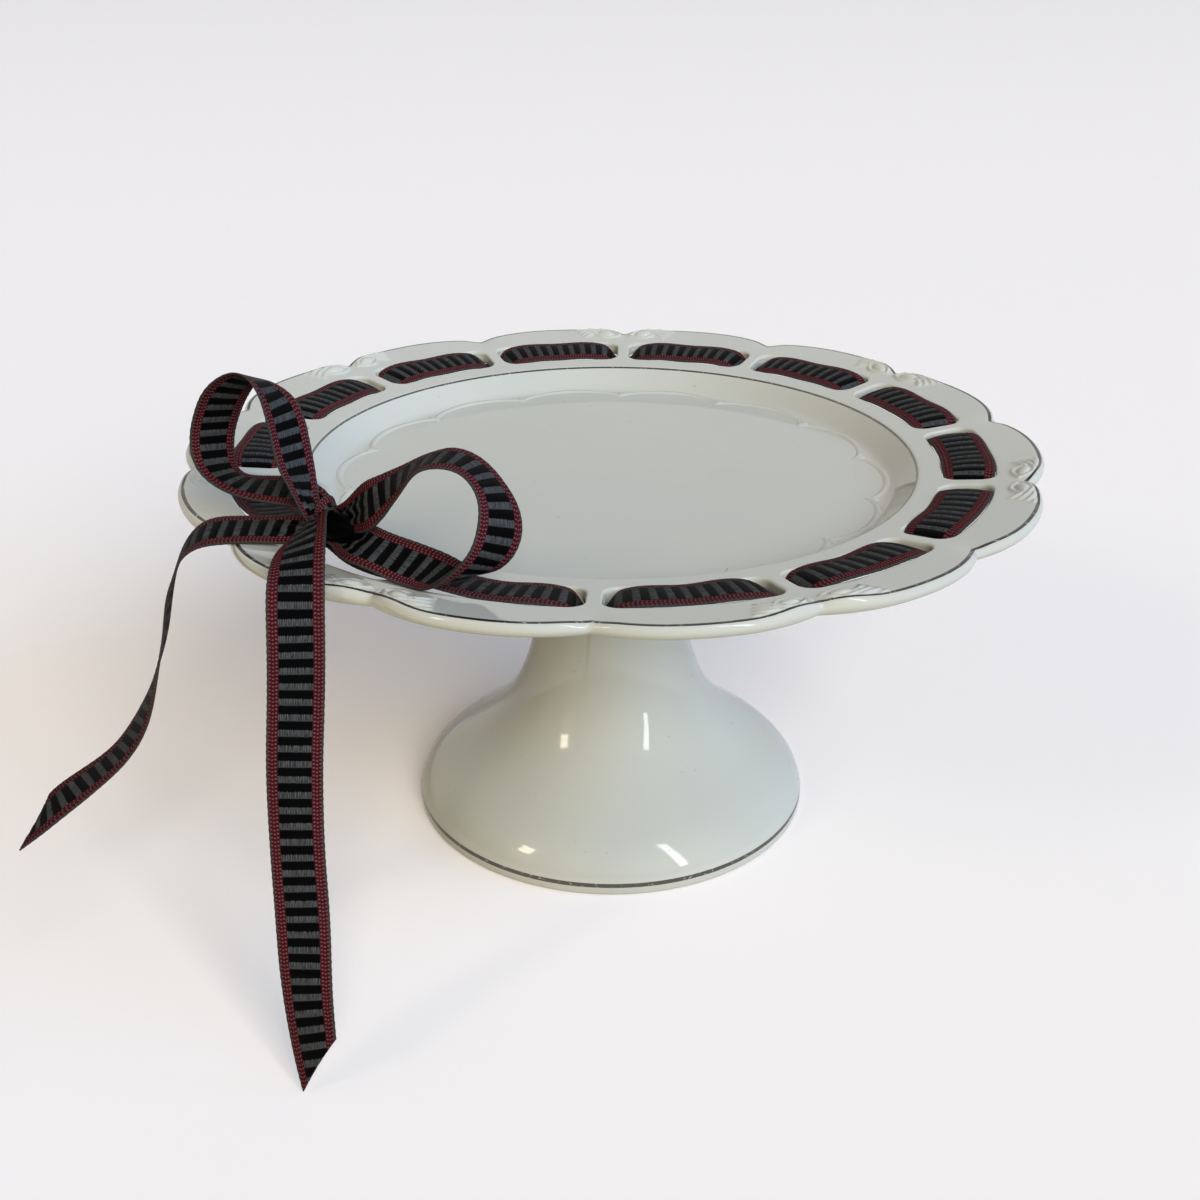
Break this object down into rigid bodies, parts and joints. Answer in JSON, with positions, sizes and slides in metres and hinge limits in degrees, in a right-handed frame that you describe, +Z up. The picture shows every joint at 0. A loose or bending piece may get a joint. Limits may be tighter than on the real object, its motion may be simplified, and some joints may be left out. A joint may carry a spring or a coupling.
{
  "type": "cake stand",
  "caption": "Footed cake stand: pierced, lobed porcelain plate on a hollow bell pedestal, with a ribbon threaded through its rim and tied in a bow.",
  "frame": {"origin": "on the table, at the centre of the foot's circle, below the middle of the plate", "axes": "+Z up; -Y is the front, towards the viewer; the bow is at the front left, and its loops and tails reach beyond the plate there"},
  "size_m": [0.3216, 0.322, 0.1893],
  "materials": {
    "plate_glaze": "glossy glaze with a thin platinum line",
    "pedestal_glaze": "glossy glaze with a platinum band at the foot",
    "ribbon": "woven, black and grey ribs between burgundy borders"
  },
  "bodies": {
    "root": {"plate": "plate_glaze", "pedestal": "pedestal_glaze", "slip_seam": "pedestal_glaze", "ribbon_weave": "ribbon", "bow_knot": "ribbon", "bow_loop_left": "ribbon", "bow_loop_right": "ribbon", "bow_tail_left": "ribbon", "bow_tail_front": "ribbon"}
  },
  "joints": []
}
